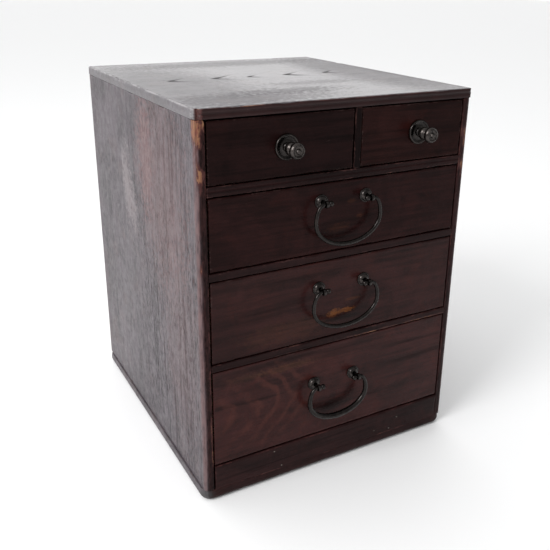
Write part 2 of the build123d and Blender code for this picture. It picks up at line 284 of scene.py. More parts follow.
# ---- materials
class Graph:
    """Short calls that build the nodes of owner, a material or the world."""

    def __init__(self, owner):
        owner.use_nodes = True
        self.owner, self.tree = owner, owner.node_tree
        self.tree.nodes.clear()
        coordinates = self.add("ShaderNodeTexCoord").outputs
        self.place = coordinates["Object"]
        self.look = coordinates["Generated"]  # in the world's nodes, the direction looked in

    def add(self, kind, **settings):
        node = self.tree.nodes.new(kind)
        for key, value in settings.items():
            setattr(node, key, value)
        return node

    def link(self, source, socket):
        if isinstance(source, bpy.types.NodeSocket):
            self.tree.links.new(source, socket)
        else:
            socket.default_value = source

    def math(self, operation, a, b=0.0, clamp=False):
        node = self.add("ShaderNodeMath", operation=operation, use_clamp=clamp)
        self.link(a, node.inputs[0])
        self.link(b, node.inputs[1])
        return node.outputs[0]

    def times(self, a, b):
        return self.math("MULTIPLY", a, b)

    def plus(self, a, b, clamp=False):
        return self.math("ADD", a, b, clamp)

    def vector(self, operation, a, b):
        node = self.add("ShaderNodeVectorMath", operation=operation)
        self.link(a, node.inputs[0])
        self.link(b, node.inputs[1])
        return node.outputs["Value" if operation in ("LENGTH", "DOT_PRODUCT") else "Vector"]

    def remap(self, value, low, high, to_low=0.0, to_high=1.0):
        node = self.add("ShaderNodeMapRange", interpolation_type="SMOOTHSTEP")
        for key, number in zip(("Value", "From Min", "From Max", "To Min", "To Max"),
                               (value, low, high, to_low, to_high)):
            self.link(number, node.inputs[key])
        return node.outputs[0]

    def noise(self, cell, detail=3.0, roughness=0.55, warp=0.0, seed=0.0):
        """Noise whose bumps are about cell (x, y, z) metres across."""
        scaled = self.vector("MULTIPLY", self.place, tuple(1 / c for c in cell))
        moved = self.vector("ADD", scaled, (seed * 7.3, seed * 3.1, seed * 5.7))
        node = self.add("ShaderNodeTexNoise")
        self.link(moved, node.inputs["Vector"])
        numbers = {"Scale": 1.0, "Detail": detail, "Roughness": roughness, "Distortion": warp}
        for key, number in numbers.items():
            node.inputs[key].default_value = number
        return node.outputs[0]

    def attribute(self, name):
        return self.add("ShaderNodeAttribute", attribute_name=name).outputs["Fac"]

    def mix(self, factor, a, b):
        node = self.add("ShaderNodeMix", data_type="RGBA", clamp_factor=True)
        self.link(factor, node.inputs[0])
        for colour, socket in ((a, node.inputs[6]), (b, node.inputs[7])):
            self.link(colour if isinstance(colour, bpy.types.NodeSocket) else (*colour, 1.0), socket)
        return node.outputs[2]

    def mix_number(self, factor, a, b):
        node = self.add("ShaderNodeMix", data_type="FLOAT", clamp_factor=True)
        self.link(factor, node.inputs[0])
        self.link(a, node.inputs[2])
        self.link(b, node.inputs[3])
        return node.outputs[0]

    def spot(self, centre, radii, ragged):
        """1 inside an ellipsoid and 0 outside, with an uneven edge."""
        away = self.vector("SUBTRACT", self.place, centre)
        length = self.vector("LENGTH", self.vector("DIVIDE", away, radii), (0, 0, 0))
        ripple = self.noise((min(radii) * 0.7,) * 3, 4)
        uneven = self.times(self.math("SUBTRACT", ripple, 0.5), ragged)
        return self.remap(self.plus(length, uneven), 1.25, 0.45)

    def arches(self, centre, radii, spacing):
        """Streaks, from 0 to 1, that come one after the other to a point towards +X."""
        away = self.vector("SUBTRACT", self.place, centre)
        parts = self.add("ShaderNodeSeparateXYZ")
        self.link(away, parts.inputs[0])
        side = self.times(parts.outputs["Z"], parts.outputs["Z"])
        side = self.math("SQRT", self.plus(side, (7 * MM) ** 2))
        run = self.plus(parts.outputs["X"], self.times(side, 1.15))
        wander = self.noise((34 * MM,) * 3, 3, 0.50, 0.4, seed=41)
        phase = self.plus(self.math("DIVIDE", run, spacing), self.times(wander, 2.4))
        wave = self.math("SINE", self.times(phase, 2 * math.pi))
        broken = self.remap(self.noise((12 * MM,) * 3, 4, 0.6, 0.3, seed=42), 0.30, 0.60)
        streak = self.times(self.remap(wave, -0.3, 1.0), broken)
        return self.times(streak, self.times(self.spot(centre, radii, 1.0), 0.7))

    def bump(self, height, distance, strength=1.0, under=None):
        node = self.add("ShaderNodeBump")
        node.inputs["Strength"].default_value = strength
        node.inputs["Distance"].default_value = distance
        self.link(height, node.inputs["Height"])
        if under is not None:
            self.link(under, node.inputs["Normal"])
        return node.outputs[0]

    def finish(self, **sockets):
        """Gives the material its principled shader, with these sockets set or fed, and returns it."""
        shader = self.add("ShaderNodeBsdfPrincipled")
        self.link(shader.outputs[0], self.add("ShaderNodeOutputMaterial").inputs["Surface"])
        for key, value in sockets.items():
            if isinstance(value, tuple):
                value = (*value, 1.0)
            self.link(value, shader.inputs[key.replace("_", " ")])
        return self.owner


def new_graph(name):
    return Graph(bpy.data.materials.new(name))


FRONT_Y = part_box("base_rail")[0].y
CASE_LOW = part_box("base_board")[0]
CASE_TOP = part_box("top_board")[1].z
STILE_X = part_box("left_side")[0].x

BARE_WOOD = (0.26, 0.135, 0.073)
BARE_RED = (0.20, 0.070, 0.050)
BARE_BROWN = (0.085, 0.036, 0.022)
RUBBED_RED = (0.070, 0.026, 0.024)
FRONT_TONE = (0.0235, 0.0085, 0.0085)


def lacquer(
    name, grain, tone, roughness, specular, contrast=1.0, flecks=0.0, stripes=0.5, dust_and_sheen=None, patches=(),
    arches=(), arris=None, rubbed=RUBBED_RED, bare_and_highlight=None, edges=0.25, bumpy=1.0, matt=(),
):
    """Old lacquer over open-grained softwood; tone is its mean colour.

    contrast is how much the tone varies; flecks, from 0 to 1, how much short dark pores show;
    stripes, how much the growth lines show; dust_and_sheen, a pale film, partly bloom and partly
    painted sheen; patches, as (centre, radii, colour, ragged, strength); arches, as (centre, radii,
    spacing) of a pointed figure; arris, the colour of worn corners, which also paints a highlight
    along them; rubbed, the colour of worn edges, on the top also a painted highlight;
    bare_and_highlight, the colour under the lacquer, on the top also a painted highlight; edges, how
    easily its edges wear; bumpy, how uneven the surface feels; matt, the places that have lost their
    shine, as (centre, radii, ragged, strength).
    """
    def shade_of(share):
        return (1 + (share - 1) * contrast,) * 3

    light, dark, plain, warm = shade_of(1.35), shade_of(0.42), (1.0, 1.0, 1.0), (1.5, 1.25, 1.1)
    g = new_graph(name)
    figure = g.noise(cell_of(grain, 8 * MM, 100 * MM), 4, 0.6, 0.5, seed=1)
    lines = g.noise(cell_of(grain, 1.7 * MM, 45 * MM), 3, 0.6, 0.15, seed=13)
    fine = g.noise(cell_of(grain, 0.55 * MM, 20 * MM), 3, 0.6, 0.1, seed=2)
    pores = g.noise(cell_of(grain, 0.34 * MM, 4.2 * MM), 2, 0.5, 0.0, seed=3)
    clouds = g.noise((34 * MM,) * 3, 5, 0.62, 0.8, seed=4)
    relief, edge, front = g.attribute("relief"), g.attribute("edge"), g.attribute("front")
    open_grain = g.attribute("open_grain")
    stripes = g.times(g.plus(g.times(open_grain, 0.8), 0.2), stripes)

    shade = g.mix(g.remap(figure, 0.34, 0.66), dark, plain)
    shade = g.mix(g.remap(clouds, 0.40, 0.66, 0.0, 0.8), shade, light)
    blush = g.remap(g.noise((22 * MM,) * 3, 4, 0.6, 0.9, seed=14), 0.48, 0.72, 0.0, 0.55 * contrast)
    shade = g.mix(blush, shade, warm)
    shade = g.mix(g.times(g.remap(lines, 0.50, 0.66), stripes), shade, dark)
    shade = g.mix(g.times(g.remap(lines, 0.46, 0.32, 0.0, 0.6), stripes), shade, light)
    shade = g.mix(g.remap(fine, 0.42, 0.62, 0.0, 0.35), shade, dark)
    # Sunk relief is painted darker, as shade in the hollows, and raised relief lighter, as a painted highlight on
    # the ridges.
    shade = g.mix(g.remap(relief, 0.05, -0.8, 0.0, 0.9), shade, (0.30,) * 3)
    shade = g.mix(g.remap(relief, 0.15, 0.9, 0.0, 0.7), shade, (1.4,) * 3)
    pore_mask = g.times(g.remap(pores, 0.64, 0.70), open_grain)
    shade = g.mix(g.times(pore_mask, 0.6), shade, (0.15,) * 3)
    if flecks:
        short = g.noise(cell_of(grain, 0.85 * MM, 5.0 * MM), 3, 0.6, 0.0, seed=15)
        where = g.remap(g.noise((40 * MM,) * 3, 2, 0.5, 0.0, seed=16), 0.35, 0.60, 0.5, 1.0)
        where = g.times(where, open_grain)
        fleck_mask = g.times(g.remap(short, 0.53, 0.64), g.times(where, flecks))
        shade = g.mix(fleck_mask, shade, (0.16,) * 3)
        shade = g.mix(g.times(g.remap(short, 0.46, 0.34, 0.0, 0.6), open_grain), shade, (1.6,) * 3)
        pore_mask = g.math("MAXIMUM", pore_mask, fleck_mask)
    for centre, radii, spacing in arches:
        shade = g.mix(g.arches(centre, radii, spacing), shade, (1.75, 1.75, 1.45))

    # The front edges of the side, top and base boards were lacquered with the front; the paler tone behind them is
    # partly painted sheen.
    colour = g.vector("MULTIPLY", shade, g.mix(front, tone, FRONT_TONE))
    behind = g.math("SUBTRACT", 1.0, front)
    # A pale film away from the front, partly bloom on the lacquer and partly painted sheen.
    if dust_and_sheen:
        film = g.noise((16 * MM, 16 * MM, 22 * MM), 5, 0.65, 0.5, seed=9)
        film = g.times(g.remap(film, 0.42, 0.75, 0.0, 0.5), behind)
        colour = g.mix(film, colour, dust_and_sheen)
    for centre, radii, patch_colour, ragged, strength in patches:
        patch = g.times(g.spot(centre, radii, ragged), strength)
        colour = g.mix(g.times(patch, g.remap(fine, 0.36, 0.58, 1.0, 0.45)), colour, patch_colour)
    # Along the worn front corners: worn lacquer and a painted highlight.
    if arris:
        uneven = g.noise(cell_of(grain, 3 * MM, 12 * MM), 4, 0.65, 0.3, seed=17)
        uneven = g.remap(uneven, 0.32, 0.60, 0.25, 0.9)
        colour = g.mix(g.times(g.attribute("arris"), uneven), colour, arris)

    scrapes = g.noise(cell_of(grain, 1.2 * MM, 4 * MM), 5, 0.68, 0.3, seed=5)
    long_wear = g.noise(cell_of(grain, 18 * MM, 34 * MM), 3, 0.5, 0.0, seed=6)
    wear = g.times(g.remap(edge, 0.3, 1.0), g.remap(long_wear, 0.38, 0.66, 0.2, 1.0))
    chip = g.plus(scrapes, g.times(wear, edges))
    chip = g.plus(chip, g.attribute("worn"))
    # On the top the worn-edge and chip colours are pale grey and also paint a highlight along its edges.
    rubbed_tone = g.mix(front, rubbed, RUBBED_RED)
    colour = g.mix(g.remap(chip, 0.66, 0.80, 0.0, 0.8), colour, rubbed_tone)
    chipped = g.remap(chip, 0.88, 1.02, 0.0, 0.9)
    bare_tone = g.mix(g.remap(scrapes, 0.4, 0.62), BARE_RED, BARE_WOOD)
    bare_tone = g.mix(g.remap(fine, 0.40, 0.60, 0.0, 0.5), bare_tone, BARE_BROWN)
    if bare_and_highlight:
        bare_tone = g.mix(front, bare_and_highlight, bare_tone)
    colour = g.mix(chipped, colour, bare_tone)

    scuffs = g.noise((6 * MM,) * 3, 6, 0.7, 0.6, seed=8)
    dull = g.plus(g.remap(scuffs, 0.35, 0.7, -0.07 * bumpy, 0.10 * bumpy), roughness)
    dull = g.plus(dull, g.times(chipped, 0.25))
    dull = g.plus(dull, g.remap(relief, 0.0, -1.0, 0.0, 0.45))
    dull = g.plus(dull, g.times(pore_mask, 0.3), clamp=True)
    for centre, radii, ragged, strength in matt:
        lost = g.times(g.spot(centre, radii, ragged), strength)
        dull = g.mix_number(lost, dull, 0.95)

    height = g.math("SUBTRACT", g.times(fine, 0.6), g.times(pore_mask, 0.8))
    normal = g.bump(height, 0.10 * MM, 0.7 * bumpy)
    normal = g.bump(g.math("SUBTRACT", scuffs, g.times(chipped, 0.6)), 0.25 * MM, 0.4 * bumpy, normal)
    return g.finish(Base_Color=colour, Roughness=dull, Normal=normal, Specular_IOR_Level=specular)


def plain_wood(name, grain, light, dark):
    """Bare softwood gone brown with age, for what the lacquer never covered."""
    g = new_graph(name)
    figure = g.noise(cell_of(grain, 2.6 * MM, 90 * MM), 4, 0.6, 0.3, seed=21)
    fibre = g.noise(cell_of(grain, 0.35 * MM, 14 * MM), 3, 0.6, 0.0, seed=22)
    stain = g.noise((70 * MM,) * 3, 3, 0.5, 0.3, seed=23)
    flecks = g.remap(g.noise(cell_of(grain, 0.5 * MM, 2.5 * MM), 2, 0.5, 0.0, seed=24), 0.66, 0.72)
    colour = g.mix(g.remap(figure, 0.36, 0.66, 0.0, 0.8), light, dark)
    colour = g.mix(g.remap(stain, 0.45, 0.80, 0.0, 0.5), colour, tuple(c * 0.6 for c in dark))
    colour = g.mix(g.remap(fibre, 0.40, 0.66, 0.0, 0.35), colour, dark)
    colour = g.mix(g.times(flecks, 0.5), colour, tuple(c * 0.4 for c in dark))
    height = g.plus(g.times(figure, 0.6), g.times(fibre, 0.4))
    return g.finish(
        Base_Color=colour,
        Roughness=g.remap(fibre, 0.3, 0.7, 0.62, 0.82),
        Normal=g.bump(height, 0.12 * MM, 0.6),
        Specular_IOR_Level=0.35,
    )


def iron(name, polish):
    """Blackened forged iron, brown in its hollows and brighter where hands have worn it, with a painted highlight
    on the parts that stand out.
    """
    g = new_graph(name)
    scale = g.noise((2.4 * MM,) * 3, 4, 0.6, 0.3, seed=31)
    bloom = g.noise((6 * MM,) * 3, 4, 0.6, 0.5, seed=32)
    pits = g.remap(g.noise((0.5 * MM,) * 3, 2, 0.5, 0.0, seed=33), 0.64, 0.74)
    rub = g.attribute("rub")
    colour = g.mix(g.remap(scale, 0.35, 0.65), (0.0080, 0.0060, 0.0054), (0.0155, 0.0124, 0.0114))
    colour = g.mix(g.remap(bloom, 0.55, 0.75, 0.0, 0.4), colour, (0.022, 0.013, 0.010))
    # Brighter towards the front: worn iron and a painted highlight.
    colour = g.mix(g.times(g.remap(scale, 0.3, 0.6), rub), colour, (0.0500, 0.0420, 0.0385))
    dull = g.plus(g.remap(scale, 0.3, 0.7, polish, polish + 0.08), g.times(pits, 0.15))
    return g.finish(
        Base_Color=colour,
        Roughness=dull,
        Normal=g.bump(g.math("SUBTRACT", scale, g.times(pits, 0.3)), 0.02 * MM, 0.3),
        Metallic=0.9,
        Coat_Weight=0.20,
        Coat_Roughness=0.10,
    )


# ---- what the materials look like
# MAUVE, the grey-mauve tone of the sides and base, is partly the old lacquer's bloom and partly painted sheen.
MAUVE = (0.067, 0.054, 0.063)
PINK = (0.145, 0.074, 0.072)
PALE = (0.200, 0.170, 0.175)
# ARRIS, on the sides' front corners, is worn lacquer and also a painted highlight.
ARRIS = (0.135, 0.082, 0.083)
ORANGE = (0.22, 0.075, 0.020)
SOOT = (0.012, 0.010, 0.010)

# Rubs and spots on the left side: distance behind the front and below the top, half-width and
# half-height, all in mm, then colour, how ragged and strength.
SIDE_PATCHES = tuple(
    (
        (STILE_X, FRONT_Y + back * MM, CASE_TOP - down * MM),
        (4 * MM, wide * MM, tall * MM), colour, ragged, strength,
    )
    for back, down, wide, tall, colour, ragged, strength in (
        (92, 45, 15, 42, PINK, 2.6, 0.75),
        (62, 62, 50, 74, PINK, 2.2, 0.45),
        (35, 160, 36, 90, PINK, 2.4, 0.28),
        (138, 78, 9, 30, PALE, 3.4, 0.75),
        (126, 92, 7, 24, PALE, 3.4, 0.65),
        (146, 66, 5, 16, PALE, 3.0, 0.40),
        (150, 105, 2.2, 1.8, SOOT, 0.6, 0.9),
        (84, 168, 2.4, 2.0, SOOT, 0.6, 0.9),
        (148, 170, 2.0, 1.4, SOOT, 0.6, 0.7),
        (185, 210, 3.0, 1.4, SOOT, 0.6, 0.6),
    )
)
FRONT_SHINE = 0.08  # the front's lacquer reflects less than the sides' and the top's
side_lacquer, stile_lacquer = (
    lacquer(name, Z, MAUVE, 0.42, shine, stripes=1.0, flecks=0.9, dust_and_sheen=(0.098, 0.084, 0.095), arris=ARRIS,
            patches=SIDE_PATCHES)
    for name, shine in (("side_lacquer", 0.31), ("stile_lacquer", FRONT_SHINE))
)
# Where the top has lost its shine: x and distance behind the front, half-width and half-depth, all
# in mm, then how ragged and strength.
TOP_MATT = tuple(
    ((x * MM, FRONT_Y + back * MM, CASE_TOP), (wide * MM, deep * MM, 5 * MM), ragged, strength)
    for x, back, wide, deep, ragged, strength in (
        (-84, 90, 56, 130, 1.8, 0.19),
        (-60, 22, 66, 24, 2.8, 0.26),
        (-20, 42, 44, 13, 3.2, 0.24),
        (20, 70, 40, 10, 3.2, 0.16),
        (88, 110, 40, 130, 1.2, 0.26),
        (10, 200, 110, 20, 2.4, 0.18),
    )
)
# The top's pale grey tone and film are partly painted sheen; its pale grey worn-edge and chip colours, on edges
# that wear easily, paint a highlight along its edges as well as wear.
top_lacquer, top_front_lacquer = (
    lacquer(name, X, (0.083, 0.073, 0.081), 0.36, shine, stripes=0.40, bumpy=0.10, contrast=0.80,
            dust_and_sheen=(0.105, 0.098, 0.106), rubbed=(0.22, 0.208, 0.214), bare_and_highlight=(0.27, 0.255, 0.26), edges=0.50,
            matt=TOP_MATT)
    for name, shine in (("top_lacquer", 0.70), ("top_front_lacquer", 0.20))
)
# A darker grey spot low on the base board's front left corner, by the floor.
CORNER_DARK = (
    ((CASE_LOW.x, CASE_LOW.y, 4 * MM), (9 * MM, 9 * MM, 7 * MM), (0.034, 0.036, 0.036), 1.0, 0.8),
)
base_lacquer, base_front_lacquer = (
    lacquer(name, X, MAUVE, 0.46, shine, dust_and_sheen=(0.10, 0.086, 0.092), rubbed=(0.060, 0.036, 0.034),
            patches=CORNER_DARK)
    for name, shine in (("base_lacquer", 0.36), ("base_front_lacquer", FRONT_SHINE))
)
WORN_EDGE = (0.044, 0.026, 0.024)
# Pale specks on the base rail, by x and z in mm.
SPECKS = tuple(
    ((x * MM, FRONT_Y, z * MM), (0.55 * MM, 3 * MM, 0.45 * MM), (0.34, 0.31, 0.27), 0.8, 0.9)
    for x, z in ((-44, 10.5), (-50, 24), (37, 13), (51, 11), (58, 19))
)
RAIL_RUB = (0.060, 0.026, 0.024)
DIVIDER_RUB = (0.040, 0.018, 0.016)
rail_lacquer = lacquer("rail_lacquer", X, FRONT_TONE, 0.34, FRONT_SHINE, rubbed=RAIL_RUB, patches=SPECKS)
shelf_lacquer = lacquer("shelf_lacquer", X, (0.0170, 0.0060, 0.0060), 0.34, FRONT_SHINE, rubbed=RAIL_RUB)
divider_lacquer = lacquer("divider_lacquer", Z, (0.0080, 0.0030, 0.0030), 0.34, 0.05, rubbed=DIVIDER_RUB)
bare_wood_x = plain_wood("bare_wood_x", X, (0.40, 0.27, 0.15), (0.24, 0.14, 0.07))
bare_wood_y = plain_wood("bare_wood_y", Y, (0.40, 0.27, 0.15), (0.24, 0.14, 0.07))
back_wood = plain_wood("back_wood", Z, (0.26, 0.165, 0.092), (0.16, 0.094, 0.052))
peg_wood = plain_wood("peg_wood", Y, (0.50, 0.36, 0.18), (0.32, 0.20, 0.09))
black_iron = iron("black_iron", 0.22)
nail_iron = iron("nail_iron", 0.50)


# ---- case boards
# Where a stile's front has lost its lacquer, in mm: depth below the top, distance in from the outer
# face, half-length, half-width and amount.
STILE_CHIPS = (
    (3.0, 1.2, 5.0, 3.6, 0.54), (10.0, 1.2, 4.4, 2.4, 0.48), (3.0, 5.0, 3.6, 1.8, 0.34),
    (13.5, 3.0, 2.6, 1.4, 0.40), (31.5, 3.4, 3.4, 2.2, 0.50), (36.0, 3.0, 3.6, 2.2, 0.42),
    (42.5, 3.2, 2.6, 1.6, 0.34), (23.0, 1.0, 12.0, 1.4, 0.26), (57.0, 4.8, 5.0, 0.8, 0.26),
    (92.0, 1.6, 4.0, 1.2, 0.46), (86.0, 3.0, 3.0, 0.8, 0.30), (112.0, 0.6, 9.0, 0.8, 0.20),
    (134.0, 5.2, 8.0, 0.6, 0.22), (168.0, 5.6, 14.0, 0.6, 0.24), (206.0, 5.6, 12.0, 0.6, 0.34),
    (226.0, 5.8, 6.0, 0.6, 0.26),
)


def side_board(node, outer):
    """A side panel: upright grain, a hand-worn front arris with a painted highlight, and open-grained faces."""
    board = Board(node, Z, radius=0.3 * MM, along=2.6 * MM, across=0.8 * MM)
    board.round_edge(Z, (outer, LOW), 3.6 * MM)
    board.round_edge(Z, (outer, HIGH), 1.0 * MM)
    board.wood_relief(0.30 * MM, across=1.4 * MM, along=40 * MM)
    bow = board.waves((90 * MM, 120 * MM, 150 * MM), 3, 1)
    board.push(0.12 * MM * (bow - 1) * smooth(board.edge, 0, 12 * MM))
    long_wave = board.waves((20 * MM, 20 * MM, 17 * MM), 9)
    board.points[:, Y] += 0.35 * MM * board.face(Y, LOW) * smooth(long_wave, -0.1, 0.8)

    depth, from_front, inwards = board.inset(Z, HIGH), board.inset(Y, LOW), board.inset(X, outer)
    # Near the top the wear goes furthest round the corner.
    round_back = 2.2 * MM * smooth(depth, 26 * MM, 8 * MM)
    at_arris = 1 - smooth(from_front - round_back, 2.0 * MM, 4.5 * MM)
    for down, inset, long, wide, amount in STILE_CHIPS:
        down = down if outer == LOW else 0.8 * down + 21
        away = ((depth - down * MM) / (long * MM)) ** 2 + ((inwards - inset * MM) / (wide * MM)) ** 2
        board.worn += amount * np.exp(-away) * at_arris * (1 if outer == LOW else 0.7)
    board.push(-0.5 * MM * np.clip(board.worn, 0, 1))
    board.bare_edges = at_arris
    board.wear_edges(0.5 * MM)
    ripple = board.waves((5 * MM, 5 * MM, 11 * MM), 6, 1)
    from_corner = 1.9 * inwards + from_front + 1.2 * MM * ripple
    board.arris = 1 - smooth(from_corner, 1.6 * MM, 5.0 * MM)
    board.open_grain = smooth(from_front, 150 * MM, 80 * MM) * 0.9 + 0.1
    board.relief = board.relief * (0.25 + 0.75 * board.open_grain)
    # The back panel's edge, let into the side, shows beyond the side's own rear edge.
    board.high[Y] -= 0.1 * MM
    fade = 0.8 * MM * board.waves((6 * MM, 6 * MM, 9 * MM), 2, 1)
    at_corner = 0.3 + 0.7 * smooth(inwards + fade, 0, 3.6 * MM)
    board.front = smooth(from_front + fade, 4.6 * MM, 1.6 * MM) * at_corner
    return board.piece(f"{node}_panel", side_lacquer, stile_lacquer)


TIPS = (30, 64, 92, 124, 159)  # how far each point of the figure is from the top's left end, in mm


def cathedral(board):
    """Growth lines that come to points in a row: below 0 where sunk, painted dark as shade, above 0 where raised,
    painted light as a highlight.
    """
    at = board.start
    wander = 1.5 * MM * noise(at, (60 * MM, 60 * MM, 60 * MM), 5)
    across = at[:, Y] - (board.low[Y] + 116 * MM) - 0.02 * at[:, X] + wander
    sharp = np.sqrt(across**2 + (2.2 * MM) ** 2) - 2.2 * MM
    run = at[:, X] - board.low[X] - 1.5 * sharp + 0.7 * MM * noise(at, (8 * MM, 5 * MM, 8 * MM), 8)
    figure = np.zeros(len(at))
    for k, tip in enumerate(TIPS):
        behind = run - tip * MM
        size = 1 + 0.25 * math.sin(2.4 * k)
        off = across - 1.2 * MM * math.sin(1.7 * k)
        core = np.exp(-((behind / (2.6 * MM * size)) ** 2) - (off / (5.5 * MM * size)) ** 2)
        ahead = smooth(behind, 2 * MM, 5 * MM) * np.exp(-np.clip(behind, 0, None) / (11 * MM))
        inner = ahead * np.exp(-((across / (6 * MM)) ** 2))
        arm = np.exp(-((behind / (1.2 * MM)) ** 2) - (off / (8 * MM * size)) ** 2)
        line = np.exp(-((behind / (1.0 * MM)) ** 2) - (off / (34 * MM)) ** 2)
        figure += inner - 1.3 * core - 0.4 * arm - 0.22 * line
    return figure


# Knocks in the top's left edge, in mm: distance behind the front, half-length and depth.
TOP_KNOCKS = ((152, 3.0, 0.9), (143, 2.2, 1.3), (131, 4.0, 0.8), (116, 2.0, 0.7), (84, 3.0, 0.6))


def top_board():
    """The top: flat-sawn with raised points of figure, a rounded nose and a groove along the front."""
    board = Board("top_board", X, radius=0.3 * MM, along=1.0 * MM, across=0.9 * MM)
    for end in (LOW, HIGH):
        board.round_edge(Y, (end, HIGH), 1.1 * MM)
        board.round_edge(X, (end, HIGH), 1.5 * MM)
        board.round_edge(Z, (end, LOW), 2.0 * MM)
    on_top = board.face(Z, HIGH) * smooth(board.edge, 1 * MM, 5 * MM)
    figure = cathedral(board) * on_top
    board.wood_relief(0.012 * MM, across=3.0 * MM, along=120 * MM)
    board.relief = 0.05 * board.relief + figure
    board.push(0.30 * MM * np.clip(figure, -1.5, 0) + 0.08 * MM * (figure - 1) * on_top)
    sag = noise(board.start, (80 * MM, 70 * MM, 50 * MM), 6)
    board.push(0.15 * MM * (sag - 1) * on_top)
    upper = smooth(board.start[:, Z], board.low[Z] + 2.5 * MM, board.high[Z] - 1.5 * MM)
    board.bare_edges = upper
    knocks = board.waves([7 * MM] * 3, 50)
    near = 1 - smooth(board.edge, 0, 2.2 * MM)
    from_front = board.inset(Y, LOW)
    board.push(-0.9 * MM * upper * near * smooth(knocks, 0.08, 0.7))
    for back, long, deep in TOP_KNOCKS:
        along = (from_front - back * MM) / (long * MM)
        board.push(-deep * MM * upper * near * board.face(X, LOW) * np.exp(-along**2))
    groove = np.exp(-(((board.start[:, Z] - (board.high[Z] - 3.6 * MM)) / (0.6 * MM)) ** 2))
    board.push(-0.9 * MM * groove * board.face(Y, LOW))
    knock = board.inset(X, LOW) + from_front
    cut = np.clip(4.6 * MM - knock, 0, None) * 0.55
    board.points[:, :2] += cut[:, None]
    board.worn = 0.28 * smooth(knock, 8 * MM, 4 * MM)
    board.front = smooth(from_front, 2.4 * MM, 1.0 * MM) * smooth(board.normal[:, Z], 1.0, 0.8)
    return board.piece("top_board_panel", top_lacquer, top_front_lacquer)


def base_board():
    """The thick board that the case stands on, its corners and lower edges rubbed round."""
    board = Board("base_board", X, radius=0.6 * MM, along=2.4 * MM, across=1.4 * MM)
    board.round_foot(7.5 * MM, 4.5 * MM)
    board.wear_edges(0.5 * MM, reach=3 * MM, cell=8 * MM)
    at_front = board.low[Y] + 2.6 * MM - board.points[:, Y]
    from_left = board.points[:, X] - board.low[X]
    board.front = smooth(at_front, 0.0, 2.0 * MM) * smooth(from_left, 1.5 * MM, 6 * MM)
    return board.piece("base_board_slip", base_lacquer, base_front_lacquer)


def rail_board(node):
    """A shelf or rail seen edge-on between the drawers; the sides cover its ends."""
    low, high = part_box(node)
    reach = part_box("right_side")[0].x
    is_base = node == "base_rail"
    bottom = low.z - (0.6 * MM if is_base else 0)
    shrunk = 1.2 * MM if is_base else 0.25 * MM  # the rail has shrunk away from the left side
    board = Board(node, X, radius=0.35 * MM, along=3.0 * MM, across=1.2 * MM,
                  box=((-reach + shrunk, low.y, bottom), (reach, high.y, high.z)))
    if is_base:
        board.round_edge(X, (LOW, HIGH), 1.3 * MM)
    board.wood_relief(0.10 * MM, across=1.3 * MM)
    sag = board.waves((30 * MM, 200 * MM, 200 * MM), 0)
    board.points[:, Y] += 0.22 * MM * board.face(Y, LOW) * smooth(sag, -0.2, 0.8)
    board.wear_edges(0.45 * MM, reach=1.1 * MM, cell=7 * MM)
    if node == "shelf_lower":
        along_edge = np.exp(-((board.inset(Z, LOW) / (1.8 * MM)) ** 2))
        board.worn = 0.27 * along_edge * smooth(board.start[:, X], -35 * MM, 30 * MM)
    if is_base:
        board.front = np.ones(len(board.points))
    return board.piece(f"{node}_board", rail_lacquer if is_base else shelf_lacquer)


def divider():
    """The upright between the two small drawers."""
    board = Board("divider", Z, radius=0.5 * MM, along=3 * MM, across=1.2 * MM)
    board.wear_edges(0.4 * MM, cell=5 * MM)
    return board.piece("divider_upright", divider_lacquer)


# ---- drawers
def drawer_front(name, material):
    """One drawer front, its face gently uneven and its edges rubbed."""
    low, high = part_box(f"{name}_front")
    trim = 0.1 * MM  # the ends of the drawer walls show past the front by this much
    gap = trim if name == "small_right" else 0.6 * MM  # the fronts have shrunk most at the left
    board = Board(f"{name}_front", X, radius=0.55 * MM, along=3.2 * MM, across=0.8 * MM,
                  box=((low.x + gap, low.y, low.z + trim), (high.x - trim, high.y - 0.02 * MM, high.z)))
    under = 1.9 * MM if name == "lower" else 1.2 * MM
    board.round_edge(X, (LOW, LOW), under)
    board.round_edge(X, (LOW, HIGH), 0.9 * MM)
    board.wood_relief(0.10 * MM, across=1.9 * MM, along=60 * MM)
    dip = board.waves((46 * MM, 46 * MM, 30 * MM), 4, 2)
    board.push(0.16 * MM * (dip - 1) * smooth(board.edge, 0, 6 * MM) * board.face(Y, LOW))
    board.wear_edges(0.5 * MM, reach=1.2 * MM, cell=7 * MM)
    return board.piece(f"{name}_front_board", material)


def paint(node, material):
    """Gives a CAD node that stays as it is its material."""
    NODES[node].data.materials.clear()
    NODES[node].data.materials.append(material)


# ---- iron
def smooth_path(points, per=6):
    """A Catmull-Rom curve through the points."""
    points = np.array(points, float)
    padded = np.vstack([2 * points[0] - points[1], points, 2 * points[-1] - points[-2]])
    path = []
    for a, b, c, d in zip(padded, padded[1:], padded[2:], padded[3:]):
        for t in np.arange(per) / per:
            bend = (2 * a - 5 * b + 4 * c - d) * t**2
            twist = (3 * b - a - 3 * c + d) * t**3
            path.append(0.5 * (2 * b + (c - a) * t + bend + twist))
    return np.array([*path, points[-1]])


def ring_faces(rings, around):
    """Quads that join rings of vertices numbered one ring after the other."""
    faces = []
    for k in range(rings - 1):
        first, second = k * around, (k + 1) * around
        for a in range(around):
            b = (a + 1) % around
            faces.append((first + a, first + b, second + b, second + a))
    return faces


def lathe(profile, centre, around=56):
    """Turns a profile of (radius, y) about the line along Y through centre."""
    angles = np.linspace(0, 2 * math.pi, around, endpoint=False)
    verts = [
        (centre.x + radius * math.cos(a), y, centre.z + radius * math.sin(a))
        for radius, y in profile
        for a in angles
    ]
    faces = ring_faces(len(profile), around)
    return np.array(verts), faces


